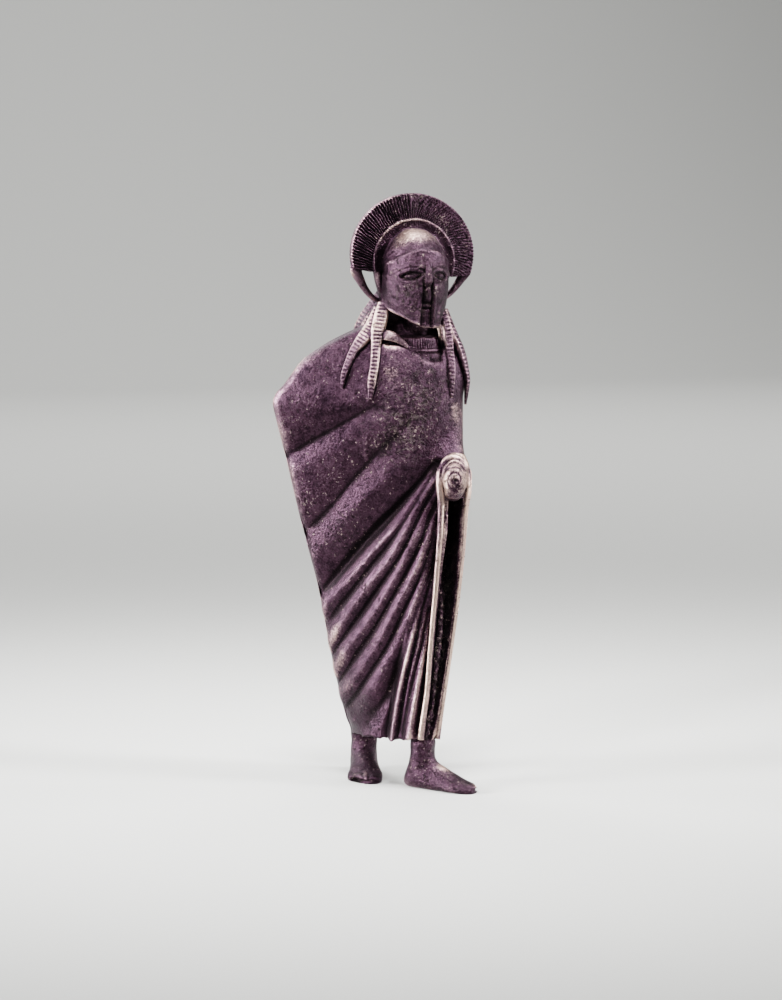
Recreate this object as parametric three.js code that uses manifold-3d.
// A small standing warrior cast as one solid piece of bronze: bare feet, a cloak drawn tightly round the body and
// over the bent right arm, a left fist that gathers the two hanging edges, long ribbed locks, a closed helmet and a
// crest that runs from ear to ear. Millimetres, +Z up. The form is laid out as seen from the front left, with X to
// the right and Y away, and is turned at the end so that the figure faces -Y.
import * as THREE from "three";
import { mergeVertices } from "three/addons/utils/BufferGeometryUtils.js";
import Module from "manifold-3d";

const wasm = await Module();
wasm.setup();

const DEG = Math.PI / 180;
const FACING = 20 * DEG; // how far head and chest are turned to the right as laid out
const SIDE = new THREE.Vector3(Math.cos(FACING), Math.sin(FACING), 0); // towards the figure's left hand
const BACK = new THREE.Vector3(-Math.sin(FACING), Math.cos(FACING), 0); // towards the figure's back
const UP = new THREE.Vector3(0, 0, 1);

const clamp = THREE.MathUtils.clamp;
const smoothstep = THREE.MathUtils.smoothstep;

// A curve through [x, y] rows that never overshoots between them (monotone cubic).
function curve(rows) {
  const x = rows.map((r) => r[0]),
    y = rows.map((r) => r[1]),
    last = rows.length - 1;
  const step = x.slice(1).map((v, i) => v - x[i]);
  const slope = step.map((h, i) => (y[i + 1] - y[i]) / h);
  const tangent = y.map((_, i) => {
    if (i === 0) return slope[0];
    if (i === last) return slope[last - 1];
    const a = slope[i - 1],
      b = slope[i];
    if (a * b <= 0) return 0;
    const p = 2 * step[i] + step[i - 1],
      q = step[i] + 2 * step[i - 1];
    return (p + q) / (p / a + q / b);
  });
  return (at) => {
    const v = clamp(at, x[0], x[last]);
    let i = 0;
    while (i < last - 1 && v > x[i + 1]) i++;
    const h = step[i],
      t = (v - x[i]) / h,
      t2 = t * t,
      t3 = t2 * t;
    return (
      (2 * t3 - 3 * t2 + 1) * y[i] +
      (t3 - 2 * t2 + t) * h * tangent[i] +
      (3 * t2 - 2 * t3) * y[i + 1] +
      (t3 - t2) * h * tangent[i + 1]
    );
  };
}

// A solid from a stack of rings with equal counts, each ring anticlockwise as seen from the far end of the stack.
function skin(rings) {
  const count = rings[0].length;
  const points = rings.flat();
  const centre = (ring) =>
    ring
      .reduce((sum, p) => sum.add(p), new THREE.Vector3())
      .divideScalar(count);
  points.push(centre(rings[0]), centre(rings[rings.length - 1]));
  const first = points.length - 2,
    end = points.length - 1,
    top = (rings.length - 1) * count;
  const index = [];
  for (let i = 0; i < rings.length - 1; i++)
    for (let j = 0; j < count; j++) {
      const a = i * count + j,
        b = i * count + ((j + 1) % count),
        c = a + count,
        d = b + count;
      index.push(a, b, d, a, d, c);
    }
  for (let j = 0; j < count; j++) {
    const k = (j + 1) % count;
    index.push(first, k, j, end, top + j, top + k);
  }
  const geometry = new THREE.BufferGeometry().setFromPoints(points);
  geometry.setIndex(index);
  return solid(geometry);
}

// A geometry as a body that can be joined and cut, its faces turned outward whichever way the rings ran.
function solid(geometry) {
  geometry.deleteAttribute("normal");
  geometry.deleteAttribute("uv");
  const merged = mergeVertices(geometry, 1e-4);
  const triVerts = new Uint32Array(merged.index.array);
  const body = () =>
    new wasm.Manifold(
      new wasm.Mesh({ numProp: 3, vertProperties: merged.attributes.position.array, triVerts }),
    );
  if (body().volume() < 0)
    for (let i = 0; i < triVerts.length; i += 3)
      [triVerts[i + 1], triVerts[i + 2]] = [triVerts[i + 2], triVerts[i + 1]];
  return body();
}

// ---- The cloak's plain form: at each height, the tight outline round a few limbs -------------------------------

const leftEdge = curve([
  [10.5, -10.4], [12.1, -10.8], [15.5, -12.4], [26.4, -15.2], [36.7, -17.2], [49.6, -19.6],
  [59.9, -22.1], [70.2, -24.7], [84.3, -27.9], [94, -30.3], [97.9, -31.0], [100.5, -30.0],
  [102.2, -28.4], [105, -26.3], [108.1, -24.0], [112.0, -18.9], [115.5, -12.5], [117.1, -8.7],
  [118.6, -4.0],
]);
const rightEdge = curve([
  [10.5, 11.0], [12, 11.3], [22.2, 13.0], [32.6, 14.3], [42.9, 15.7], [53, 17.1],
  [58.2, 18.0], [65.8, 18.4], [76.1, 18.6], [83, 18.2], [88, 17.7], [98.3, 17.7],
  [103.4, 18.3], [108, 17.7], [111.1, 16.7], [114.5, 14.2], [117.1, 10.5], [118.6, 8.0],
]);
// Limbs: centre x, centre y and radius against height; the trunk is an ellipse turned with the shoulders.
const elbow = {
  y: curve([[10.5, 5.5], [30, 4.5], [60, 2.0], [98, 0.0], [108, -0.5], [118.6, 0.0]]),
  r: curve([[10.5, 3.4], [30, 3.0], [60, 2.6], [90, 2.6], [98, 2.6], [105, 2.8], [112, 3.2], [116, 3.0], [118.6, 2.0]]),
};
const leftArm = {
  y: curve([[10.5, -8.0], [40, -5.5], [60, -4.5], [76, -4.0], [86, 0.0], [98, 3.0], [110, 4.0], [118.6, 3.0]]),
  r: curve([[10.5, 3.2], [40, 3.2], [70, 3.6], [84, 4.2], [100, 4.6], [110, 4.0], [115, 3.0], [118.6, 1.8]]),
};
const rightLeg = {
  x: curve([[10.5, -5.7], [30, -5.3], [50, -4.5], [75, -3.0]]),
  y: curve([[10.5, 7.8], [30, 6.4], [50, 3.4], [75, 1.2]]),
  r: curve([[10.5, 5.2], [30, 5.8], [50, 6.8], [75, 8.6]]),
};
const leftLeg = {
  x: curve([[10.5, 5.6], [30, 6.0], [50, 6.8], [75, 7.5]]),
  y: curve([[10.5, -8.4], [30, -6.6], [50, -4.4], [75, -2.2]]),
  r: curve([[10.5, 4.8], [30, 5.6], [50, 6.7], [75, 8.4]]),
};
const trunk = {
  x: curve([[10.5, 0.0], [50, 1.5], [84, 3.5], [118.6, 4.0]]),
  y: curve([[10.5, -0.3], [50, 0.0], [84, 0.2], [98, 0.0], [110, 1.2], [118.6, 2.0]]),
  a: curve([[10.5, 7.0], [50, 9.0], [70, 11.0], [84, 10.5], [98, 12.6], [106, 12.6], [111, 10.8], [115, 7.8], [117.1, 5.5], [118.6, 3.0]]),
  b: curve([[10.5, 6.0], [50, 8.0], [70, 9.6], [84, 9.0], [98, 9.8], [106, 8.8], [111, 7.2], [115, 5.2], [117.1, 4.2], [118.6, 2.4]]),
};
const HIP_HEIGHT = 75; // above it the legs no longer touch the cloth
const TIGHTNESS = 1.6; // per mm; how sharply the cloth turns from one limb to the next

// The outline's point and outward normal where the cloth faces the direction phi at height z.
function drape(z, phi) {
  const c = Math.cos(phi),
    s = Math.sin(phi);
  const reach = [],
    turn = [];
  const limb = (x, y, r) => {
    reach.push(x * c + y * s + r);
    turn.push(-x * s + y * c);
  };
  const re = elbow.r(z),
    ra = leftArm.r(z);
  limb(leftEdge(z) + re, elbow.y(z), re);
  limb(rightEdge(z) - ra, leftArm.y(z), ra);
  if (z < HIP_HEIGHT)
    for (const leg of [rightLeg, leftLeg]) limb(leg.x(z), leg.y(z), leg.r(z));
  const a = trunk.a(z),
    b = trunk.b(z),
    ca = Math.cos(phi - FACING),
    sa = Math.sin(phi - FACING),
    e = Math.hypot(a * ca, b * sa);
  reach.push(trunk.x(z) * c + trunk.y(z) * s + e);
  turn.push(-trunk.x(z) * s + trunk.y(z) * c + ((b * b - a * a) * sa * ca) / e);
  const most = Math.max(...reach);
  let sum = 0,
    slide = 0;
  reach.forEach((v, i) => {
    const w = Math.exp(TIGHTNESS * (v - most));
    sum += w;
    slide += w * turn[i];
  });
  const h = most + Math.log(sum) / TIGHTNESS,
    d = slide / sum;
  return { x: h * c - d * s, y: h * s + d * c, nx: c, ny: s };
}

// The point of the plain form whose coordinate along the level direction across equals reach, on the face that looks
// towards look (an angle).
function clothAt(z, reach, across, look) {
  let best,
    gap = Infinity;
  for (let turn = -88; turn <= 88; turn += 2) {
    const p = drape(z, look + turn * DEG),
      miss = Math.abs(p.x * across.x + p.y * across.y - reach);
    if (miss < gap) {
      gap = miss;
      best = p;
    }
  }
  return best;
}

// ---- The folds, as heights over the plain form ----------------------------------------------------------------

// Rolls of cloth that fan out from the fist, as [x, z, half-width, height] along each crown.
const FRONT_ROLLS = [
  [[6.1, 77.1, 1.1, 0.3], [2.8, 73.8, 1.5, 0.7], [-1.0, 68.7, 1.9, 1.0], [-4.8, 63.4, 2.2, 1.1], [-10.0, 57.4, 2.6, 1.1], [-15.2, 51.8, 2.9, 1.0], [-20.1, 45.5, 3.0, 0.9]],
  [[7.1, 74.6, 1.0, 0.3], [4.2, 69.0, 1.3, 0.7], [1.5, 63.7, 1.6, 0.9], [-1.0, 59.7, 1.9, 1.1], [-7.4, 50.7, 2.3, 1.2], [-13.9, 41.8, 2.6, 1.1], [-18.1, 36.2, 2.8, 1.0]],
  [[8.6, 72.4, 1.0, 0.3], [5.3, 65.0, 1.4, 0.8], [1.5, 57.3, 1.7, 1.0], [-1.0, 52.0, 1.9, 1.1], [-5.6, 44.6, 2.2, 1.2], [-12.6, 35.2, 2.4, 1.1], [-16.8, 29.8, 2.5, 1.0]],
  [[10.1, 70.8, 0.9, 0.3], [6.1, 62.5, 1.3, 0.8], [4.0, 57.3, 1.5, 0.9], [1.5, 50.8, 1.6, 1.0], [-1.5, 44.2, 1.9, 1.1], [-7.4, 34.5, 2.2, 1.1], [-14.2, 23.6, 2.4, 1.0]],
  [[10.1, 65.0, 0.9, 0.3], [6.1, 53.6, 1.2, 0.7], [3.5, 48.4, 1.4, 0.9], [1.3, 38.1, 1.7, 1.0], [-3.6, 28.5, 2.0, 1.1], [-9.8, 18.9, 2.3, 0.6]],
  [[9.9, 58.6, 0.7, 0.3], [7.1, 48.5, 0.8, 0.6], [4.6, 38.3, 0.9, 0.8], [2.5, 28.0, 0.9, 0.9], [-1.0, 13.3, 1.0, 0.9]],
  [[10.4, 50.9, 0.7, 0.3], [7.6, 35.8, 0.9, 0.6], [5.6, 28.2, 1.1, 0.8], [3.3, 12.5, 1.3, 0.9]],
  [[11.7, 74.0, 0.8, 0.7], [11.1, 58.6, 0.9, 0.9], [8.9, 38.3, 1.1, 1.0], [6.3, 12.5, 1.2, 1.1]],
];
// Shallower rolls on the back, where the other edge of the cloth runs round to the same hand.
const BACK_ROLLS = [
  [[17.0, 80.0, 1.6, 0.3], [6.0, 74.0, 3.0, 0.8], [-8.0, 62.0, 3.8, 1.0], [-20.5, 46.0, 3.6, 0.7]],
  [[17.5, 74.0, 1.4, 0.3], [8.0, 64.0, 2.8, 0.8], [-4.0, 49.0, 3.4, 1.0], [-17.0, 32.0, 3.2, 0.7]],
  [[17.5, 68.0, 1.4, 0.3], [10.0, 54.0, 2.4, 0.8], [0.0, 37.0, 3.0, 1.0], [-11.0, 19.0, 3.0, 0.7]],
  [[17.0, 60.0, 1.2, 0.3], [11.5, 43.0, 2.2, 0.8], [4.5, 26.0, 2.5, 0.9], [-3.5, 12.5, 2.6, 0.8]],
];
// Long creases where one pleat slides under the next, as [x, z, reach above, depth].
const FRONT_CREASES = [
  [[-31.0, 81.9, 6.0, 0.8], [-24.0, 86.4, 6.0, 1.0], [-13.7, 92.5, 5.5, 0.9], [-3.5, 98.6, 4.0, 0.5], [1.5, 101.5, 3.0, 0.0]],
  [[-25.5, 63.0, 6.5, 0.9], [-18.9, 68.4, 6.5, 1.1], [-11.2, 77.7, 6.0, 1.1], [-3.6, 86.3, 5.0, 0.8], [4.0, 94.1, 4.0, 0.4], [7.0, 98.5, 3.0, 0.0]],
  [[-21.5, 49.8, 4.0, 0.7], [-13.8, 56.4, 4.0, 1.0], [-3.6, 68.6, 4.0, 1.0], [1.5, 73.8, 3.5, 0.8], [8.0, 80.2, 2.5, 0.2]],
];
const BACK_CREASES = [
  [[-31.0, 82.4, 6.0, 0.8], [-18.0, 90.0, 6.0, 1.0], [2.0, 101.0, 5.0, 0.6], [10.0, 105.0, 4.0, 0.0]],
  [[-26.0, 62.0, 7.0, 0.8], [-12.0, 74.0, 7.0, 1.0], [6.0, 88.0, 6.0, 0.7], [14.0, 94.0, 4.0, 0.0]],
];
const CREASE_LIP = 1.3; // mm over which the cloth climbs back out below a crease

// The nearest place on a path of [x, z, ...] rows: the side and distance, and the row values there.
function nearest(path, x, z) {
  let best = { distance: Infinity };
  for (let i = 0; i < path.length - 1; i++) {
    const [ax, az] = path[i],
      [bx, bz] = path[i + 1],
      dx = bx - ax,
      dz = bz - az,
      t = clamp(((x - ax) * dx + (z - az) * dz) / (dx * dx + dz * dz), 0, 1),
      ex = x - ax - t * dx,
      ez = z - az - t * dz,
      distance = Math.hypot(ex, ez);
    if (distance < best.distance)
      best = {
        distance,
        above: ez > 0,
        width: THREE.MathUtils.lerp(path[i][2], path[i + 1][2], t),
        height: THREE.MathUtils.lerp(path[i][3], path[i + 1][3], t),
      };
  }
  return best;
}

// Height of the folds over one face of the cloth at x, z.
function relief(x, z, rolls, creases) {
  let roll = 0,
    crease = 0;
  for (const path of rolls) {
    const n = nearest(path, x, z);
    roll = Math.max(roll, n.height * (1 - clamp(n.distance / n.width, 0, 1) ** 1.7));
  }
  for (const path of creases) {
    const n = nearest(path, x, z);
    const reach = n.above ? n.width : CREASE_LIP;
    crease = Math.min(crease, -n.height * (1 - clamp(n.distance / reach, 0, 1)) ** 1.3);
  }
  return roll + crease;
}

const NECKLINE = curve([[-30, 140], [-6, 122], [-2.8, 113.5], [3.3, 112.3], [6.6, 110], [8.6, 108.7], [11.9, 108.4], [14, 122], [30, 140]]);
const NECK_HOLLOW = 1.2; // mm from the cloak's edge in to the tunic
const GATHER = [{ x: 13.5, z: 79, r: 7.5, h: 0.6 }]; // cloth bunched round the fist

// One ring of the cloak: arc length spread so that the front has the closer spacing.
const AROUND = 54;
const BACK_SHARE = 0.42;
function cloakRing(z, inset = 0) {
  const steps = 360;
  const outline = [],
    along = [0];
  for (let i = 0; i <= steps; i++) outline.push(drape(z, Math.PI / 2 + (i / steps) * 2 * Math.PI));
  for (let i = 1; i <= steps; i++) {
    const p = outline[i],
      q = outline[i - 1],
      front = smoothstep(-(p.ny + q.ny) / 2, -0.3, 0.3);
    along.push(along[i - 1] + Math.hypot(p.x - q.x, p.y - q.y) * THREE.MathUtils.lerp(BACK_SHARE, 1, front));
  }
  const ring = [];
  for (let j = 0, i = 1; j < AROUND; j++) {
    const target = (along[steps] * j) / AROUND;
    while (along[i] < target) i++;
    const t = (target - along[i - 1]) / (along[i] - along[i - 1]),
      p = outline[i - 1],
      q = outline[i],
      x = THREE.MathUtils.lerp(p.x, q.x, t),
      y = THREE.MathUtils.lerp(p.y, q.y, t),
      nx = THREE.MathUtils.lerp(p.nx, q.nx, t),
      ny = THREE.MathUtils.lerp(p.ny, q.ny, t),
      front = smoothstep(-ny, -0.12, 0.25),
      back = smoothstep(ny, -0.12, 0.25);
    let h = 0;
    if (front > 0) {
      h += front * relief(x, z, FRONT_ROLLS, FRONT_CREASES);
      h -= front * NECK_HOLLOW * smoothstep(z - NECKLINE(x), -0.2, 0.9);
      for (const g of GATHER) h += front * g.h * (1 - smoothstep(Math.hypot(x - g.x, z - g.z), 0, g.r));
    }
    if (back > 0) h += back * relief(x, z, BACK_ROLLS, BACK_CREASES);
    h *= 1 - smoothstep(z, 114, 117);
    ring.push(new THREE.Vector3(x + nx * (h - inset), y + ny * (h - inset), z));
  }
  return ring;
}

const HEM = 11.8;
const CLOAK_TOP = 118.5;
function cloak() {
  const rings = [cloakRing(HEM, 0.5), cloakRing(HEM + 0.35)];
  const rows = 41;
  for (let i = 1; i <= rows; i++) rings.push(cloakRing(HEM + 0.35 + ((CLOAK_TOP - HEM - 0.35) * i) / rows));
  return skin(rings);
}

// ---- The slot between the two hanging edges --------------------------------------------------------------------

const SLOT_OUT = new THREE.Vector3(0.484, -0.875, 0); // the way the slot faces
const slotLeftX = curve([[10, 6.4], [13.3, 7.1], [23, 8.2], [38.2, 9.6], [53.5, 11.1], [63.6, 11.9], [73.1, 11.9]]);
const slotLeftY = curve([[10, -13.1], [13.3, -12.9], [23, -12.1], [38.2, -11.0], [53.5, -10.1], [63.6, -9.8], [73.1, -9.8]]);
const slotRightX = curve([[10, 9.4], [13, 9.9], [22.5, 11.7], [32.6, 13.5], [42.8, 14.8], [53, 16.3], [65.8, 17.0], [72.7, 16.7]]);
const slotRightY = curve([[10, -11.5], [13, -11.3], [22.5, -9.8], [32.6, -8.2], [42.8, -7.7], [53, -7.0], [65.8, -6.7], [72.7, -7.0]]);
const slotDepth = curve([[10, 3.0], [30, 3.0], [44, 4.4], [56, 6.0], [70, 6.0], [74, 2.5]]);
function slot() {
  const rings = [];
  for (const z of [9, 18, 27, 36, 45, 54, 63, 69, 73.5]) {
    const left = new THREE.Vector3(slotLeftX(z), slotLeftY(z), z),
      right = new THREE.Vector3(slotRightX(z), slotRightY(z), z),
      depth = slotDepth(z),
      at = (p, out, pull) => p.clone().lerp(p === left ? right : left, pull).addScaledVector(SLOT_OUT, out);
    rings.push([at(left, 3, -0.08), at(right, 3, -0.08), at(right, -0.6 * depth, 0.06), at(right, -depth, 0.3), at(left, -depth, 0.3), at(left, -0.6 * depth, 0.06)]);
  }
  return skin(rings);
}

// ---- Round limbs and locks -------------------------------------------------------------------------------------

// A bar along points, with elliptical sections: across and thick are the half-widths at each point, and face says
// which way the flat of the bar looks.
function bar(points, across, thick, face, sides = 5) {
  const rings = points.map((p, i) => {
    const before = points[Math.max(0, i - 1)],
      after = points[Math.min(points.length - 1, i + 1)],
      along = after.clone().sub(before).normalize(),
      wide = along.clone().cross(face[i] ?? face[0]).normalize(),
      deep = wide.clone().cross(along).normalize();
    return Array.from({ length: sides }, (_, k) => {
      const a = (k / sides) * 2 * Math.PI;
      return p
        .clone()
        .addScaledVector(wide, Math.cos(a) * across[i])
        .addScaledVector(deep, -Math.sin(a) * thick[i]);
    });
  });
  return skin(rings);
}
const point = (p) => new THREE.Vector3(...p);

const headX = 4.9,
  headY = 0.6; // the axis of neck and head
const onHead = (side, back, z) =>
  new THREE.Vector3(headX, headY, z).addScaledVector(SIDE, side).addScaledVector(BACK, back);

function neck() {
  const ring = (z, a, b, back) =>
    Array.from({ length: 16 }, (_, k) => {
      const t = (k / 16) * 2 * Math.PI;
      return onHead(a * Math.cos(t), back + b * Math.sin(t), z);
    });
  return [
    skin([ring(106, 8.2, 7.4, 0.6), ring(112, 7.4, 6.9, 0.6), ring(115, 6.4, 6.4, 0.5), ring(118, 5.8, 6.2, 0.6), ring(126, 5.6, 6.4, 0.6)]),
    // the mass of hair under the locks at the nape
    skin([ring(108, 9.0, 4.6, 3.0), ring(116, 8.2, 4.6, 3.2), ring(120, 7.6, 4.4, 3.4), ring(126, 6.6, 4.0, 3.6)]),
  ];
}

// Locks as [x, y, z, half-width] down the crown of each; below the chin y is left to the cloth the lock lies on.
const CHIN = 118;
const ACROSS_VIEW = new THREE.Vector3(1, 0, 0);
const LOCKS = [
  { path: [[-2.0, -1.6, 122.0, 1.1], [-5.3, -3.3, 116.5, 1.2], [-8.6, 0, 113.5, 1.3], [-10.4, 0, 111.0, 1.3], [-11.6, 0, 108.3, 1.3], [-12.7, 0, 105.2, 1.1], [-13.3, 0, 102.0, 0.4]], face: [-0.3, -1, 0.35] },
  { path: [[-1.8, -3.4, 121.5, 1.3], [-3.2, -3.4, 118.6, 1.8], [-4.1, 0, 114.0, 1.8], [-4.6, 0, 111.5, 1.7], [-4.9, 0, 107.8, 1.6], [-5.6, 0, 104.0, 1.3], [-6.2, 0, 99.5, 0.4]], face: [-0.1, -1, 0.3] },
  { path: [[12.2, 1.4, 121.0, 1.1], [13.2, 0, 115.0, 1.2], [13.8, 0, 111.3, 1.2], [14.3, 0, 106.3, 1.1], [14.5, 0, 100.0, 0.4]], face: [0.5, -1, 0.2] },
  { path: [[12.6, 3.4, 121.5, 1.1], [14.6, 3.0, 115.8, 1.3], [16.6, 2.3, 111.1, 1.3], [17.9, 2.5, 107.0, 1.3], [18.5, 2.4, 103.0, 1.1], [18.2, 2.1, 97.5, 0.4]], face: [1, -0.6, 0.2] },
  { path: [[-3.4, 2.6, 125.5, 1.1], [-6.6, 2.2, 120.5, 1.4], [-9.6, 1.6, 116.9, 1.5], [-12.4, 1.6, 115.0, 1.3], [-15.6, 1.8, 112.6, 0.5]], face: [-0.5, 0.2, 1] },
];
// Locks that hang down the back, by how far each lies to the figure's left.
const BACK_LOCKS = [-7.0, -3.5, 0, 3.5, 7.0];
const BACK_LOCK_ROWS = [
  [125, 0.8, 1.6, 1.4],
  [116.5, 0.95, 1.8, 1.3],
  [110, 1.1, 1.8, 1.2],
  [103, 1.2, 1.6, 1.0],
  [96, 1.25, 0.5, 0.5],
]; // height, spread, half-width, half-thickness
function locks() {
  const made = LOCKS.map(({ path, face }) =>
    bar(
      path.map(([x, y, z]) =>
        point([x, y || clothAt(z, x, ACROSS_VIEW, -90 * DEG).y - 0.4, z]),
      ),
      path.map((p) => p[3]),
      path.map((p) => Math.min(0.9, p[3])),
      [point(face).normalize()],
    ),
  );
  const inHead = new THREE.Vector3(headX, headY, 0);
  for (const side of BACK_LOCKS) {
    const path = BACK_LOCK_ROWS.map(([z, spread]) => {
      const s = side * spread;
      if (z > CHIN) return onHead(s, 7.8 - 0.04 * s * s, z);
      const cloth = clothAt(z, inHead.dot(SIDE) + s, SIDE, 90 * DEG + FACING);
      return point([cloth.x, cloth.y, z]).addScaledVector(BACK, 0.2);
    });
    made.push(
      bar(path, BACK_LOCK_ROWS.map((r) => r[2]), BACK_LOCK_ROWS.map((r) => r[3]), [BACK]),
    );
  }
  return made;
}

// ---- The fist --------------------------------------------------------------------------------------------------

function fist() {
  const knob = new THREE.IcosahedronGeometry(1, 2);
  knob.scale(3.4, 4.6, 4.4);
  knob.rotateZ(25 * DEG);
  knob.translate(15.2, -7.9, 79.0);
  const wrap = bar(
    [point([17.6, -1.5, 86.5]), point([17.3, -4.5, 83.6]), point([17.4, -7.0, 80.2]), point([17.6, -7.6, 76.5]), point([17.5, -7.2, 72])],
    [2.0, 2.2, 1.7, 1.3, 0.9],
    [1.2, 1.4, 1.3, 1.1, 0.8],
    [point([0.8, -0.6, 0]).normalize()],
    8,
  );
  return [solid(knob), wrap];
}

// ---- The helmet ------------------------------------------------------------------------------------------------

const BROW = 134.2;
const helmetSide = curve([[117, 5.2], [119.5, 6.4], [122, 7.5], [125, 8.2], [129, 8.5], [133, 8.4], [136, 7.8], [139, 6.1], [141, 3.9], [142, 1.8], [142.3, 0.4]]);
const helmetDepth = curve([[117, 8.6], [119.5, 9.4], [122, 9.9], [125, 10.3], [129, 10.6], [133, 10.4], [136, 9.6], [139, 7.6], [141, 4.9], [142, 2.3], [142.3, 0.5]]);
const HELMET_TOP = 142.3;
function helmet() {
  const sides = 28,
    levels = [1, 0.97, 0.91, 0.82, 0.73, 0.66, 0.6, 0.52, 0.42, 0.32, 0.22, 0.11, 0];
  const rings = levels
    .map((share) =>
      Array.from({ length: sides }, (_, k) => {
        const t = (k / sides) * 2 * Math.PI, // 0 towards the figure's left, a quarter turn to the back
          back = Math.sin(t),
          bottom = THREE.MathUtils.lerp(117.6, 124.2, smoothstep(back, -0.75, 0.45)),
          z = THREE.MathUtils.lerp(bottom, HELMET_TOP, share),
          front = Math.max(0, -back),
          low = 1 - smoothstep(z, 122, 129),
          flare = Math.max(0, back) ** 0.7 * (1 - smoothstep(z, 124, 128)) * 1.3,
          keel = 0.9 * front ** 6 * smoothstep(z, 118, 124) * (1 - smoothstep(z, 133, 138)),
          brow = 0.5 * smoothstep(front, 0.1, 0.6) * smoothstep(z, BROW - 2.2, BROW - 0.6) * (1 - smoothstep(z, BROW + 0.4, BROW + 2)),
          a = helmetSide(z) - 0.6 * low * front,
          b = helmetDepth(z);
        return onHead((a + flare) * Math.cos(t), (b + flare + keel + brow) * back + 0.3, z);
      }),
    )
    .reverse();
  let body = skin(rings);
  // Eye openings, and the gap between the cheek guards.
  for (const side of [-1, 1]) {
    const eye = new THREE.SphereGeometry(1, 10, 6);
    eye.scale(2.35, 2.6, 1.35);
    eye.rotateX(90 * DEG);
    const m = new THREE.Matrix4().makeBasis(SIDE, UP, BACK.clone().negate());
    eye.applyMatrix4(m);
    const at = onHead(side * 3.7, -9.9, 130.2);
    eye.translate(at.x, at.y, at.z);
    body = body.subtract(solid(eye));
  }
  const gap = new THREE.BoxGeometry(1.7, 5, 9).applyMatrix4(new THREE.Matrix4().makeBasis(SIDE, BACK, UP));
  const at = onHead(0, -10.9, 120.6);
  gap.translate(at.x, at.y, at.z);
  return body.subtract(solid(gap));
}

// ---- The crest -------------------------------------------------------------------------------------------------

const CREST = { z: 135.6, side: 16.6, up: 15.4, back: 0.9, rim: 1.15, root: 1.7 };
function crest() {
  const steps = 36,
    from = -13.5 * DEG;
  const arc = Array.from({ length: steps + 1 }, (_, k) => from + ((Math.PI - 2 * from) * k) / steps);
  // Each ring is one radial slice from the middle of the head out to the rim.
  const rings = arc.map((t, k) => {
    const strand = k % 2 ? 0.22 : 0;
    const at = (share, half) =>
      onHead(share * CREST.side * Math.cos(t), CREST.back + half, CREST.z + share * CREST.up * Math.sin(t));
    return [
      at(0.3, -CREST.root),
      at(0.62, -CREST.root),
      at(0.66, -CREST.rim - 0.1 + strand),
      at(0.98, -CREST.rim + strand),
      at(1, -0.5),
      at(1, 0.5),
      at(0.98, CREST.rim - strand),
      at(0.66, CREST.rim + 0.1 - strand),
      at(0.62, CREST.root),
      at(0.3, CREST.root),
    ];
  });
  const made = [skin(rings)];
  for (const s of [-1, 1])
    made.push(
      bar(
        [onHead(s * 13.4, 1.0, 135), onHead(s * 14.2, 1.7, 130.9), onHead(s * 13.2, 2.3, 127.8), onHead(s * 11.4, 2.7, 125.4), onHead(s * 8.2, 3.0, 124.0)],
        [2.6, 1.9, 1.3, 0.8, 0.5],
        [1.0, 0.9, 0.8, 0.7, 0.5],
        [BACK],
      ),
    );
  return made;
}

// ---- Legs and feet ---------------------------------------------------------------------------------------------

const FOOT_LENGTH = 21;
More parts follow.
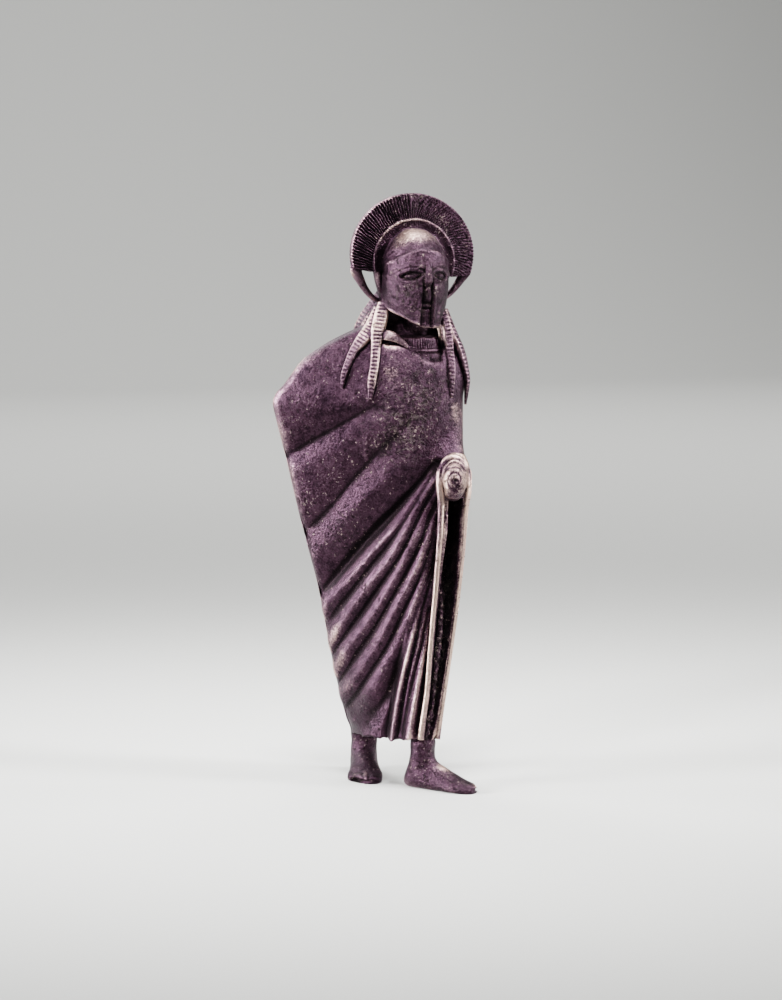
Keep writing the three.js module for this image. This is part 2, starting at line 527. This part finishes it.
// Along the foot from heel (0) to toe (1): half-width, height, and the half-width of the flat sole.
const footWidth = curve([[0, 1.2], [0.05, 2.3], [0.15, 2.9], [0.35, 2.8], [0.55, 3.2], [0.75, 4.0], [0.88, 4.1], [0.96, 3.3], [1, 1.8]]);
const footHeight = curve([[0, 2.6], [0.05, 4.6], [0.2, 7.0], [0.36, 6.6], [0.5, 5.3], [0.65, 4.2], [0.8, 3.2], [0.92, 2.5], [1, 1.3]]);
function leg(ankle, pointing, bend) {
  const ahead = new THREE.Vector3(Math.cos(pointing), Math.sin(pointing), 0),
    across = new THREE.Vector3(-ahead.y, ahead.x, 0),
    heel = new THREE.Vector3(ankle.x, ankle.y, 0).addScaledVector(ahead, -0.24 * FOOT_LENGTH);
  const stations = [0, 0.06, 0.16, 0.3, 0.45, 0.62, 0.76, 0.87, 0.96, 1];
  const rings = stations.map((t) => {
    const w = footWidth(t),
      h = footHeight(t),
      middle = heel
        .clone()
        .addScaledVector(ahead, t * FOOT_LENGTH)
        .addScaledVector(across, bend * t * (1 - t) * 2);
    const at = (u, z) => middle.clone().addScaledVector(across, u * w).setZ(z);
    return [at(-0.82, 0), at(0.82, 0), at(1, 0.22 * h), at(0.9, 0.58 * h), at(0.5, 0.92 * h), at(0, h), at(-0.5, 0.92 * h), at(-0.9, 0.58 * h), at(-1, 0.22 * h)];
  });
  const shin = [
    [2.0, 3.0, 3.3],
    [5.5, 3.15, 3.5],
    [8.5, 3.15, 3.3],
    [12.5, 3.3, 3.4],
    [17.0, 3.7, 3.8],
  ].map(([z, side, fore]) =>
    Array.from({ length: 12 }, (_, k) => {
      const a = (k / 12) * 2 * Math.PI;
      return new THREE.Vector3(ankle.x, ankle.y, z)
        .addScaledVector(ahead, Math.cos(a) * fore)
        .addScaledVector(across, Math.sin(a) * side);
    }),
  );
  return [skin(rings), skin(shin)];
}

// ---- The whole casting -----------------------------------------------------------------------------------------

const rightAnkle = { x: -7.4, y: 8.4 },
  leftAnkle = { x: 7.5, y: -9.0 };
let casting = cloak().subtract(slot());
const rest = [
  ...neck(),
  helmet(),
  ...crest(),
  ...locks(),
  ...fist(),
  ...leg(rightAnkle, -87 * DEG, 0.8),
  ...leg(leftAnkle, -33 * DEG, -0.8),
];
for (const piece of rest) casting = casting.add(piece);

const mesh = casting.getMesh();
const position = new Float32Array(mesh.numVert * 3);
for (let i = 0; i < mesh.numVert; i++)
  position.set(mesh.vertProperties.subarray(i * mesh.numProp, i * mesh.numProp + 3), i * 3);
const geometry = new THREE.BufferGeometry();
geometry.setAttribute("position", new THREE.BufferAttribute(position, 3));
geometry.setIndex(new THREE.BufferAttribute(mesh.triVerts, 1));
geometry.rotateZ(-FACING);
geometry.computeBoundingBox();
const box = geometry.boundingBox;
geometry.translate(-(box.min.x + box.max.x) / 2, -(box.min.y + box.max.y) / 2, -box.min.z);
geometry.computeVertexNormals();

const statuette = new THREE.Mesh(
  geometry,
  new THREE.MeshStandardMaterial({ color: 0x4b3a42, metalness: 0.85, roughness: 0.45 }),
);
statuette.name = "draped_warrior_statuette";
const group = new THREE.Group();
group.add(statuette);
export default group;
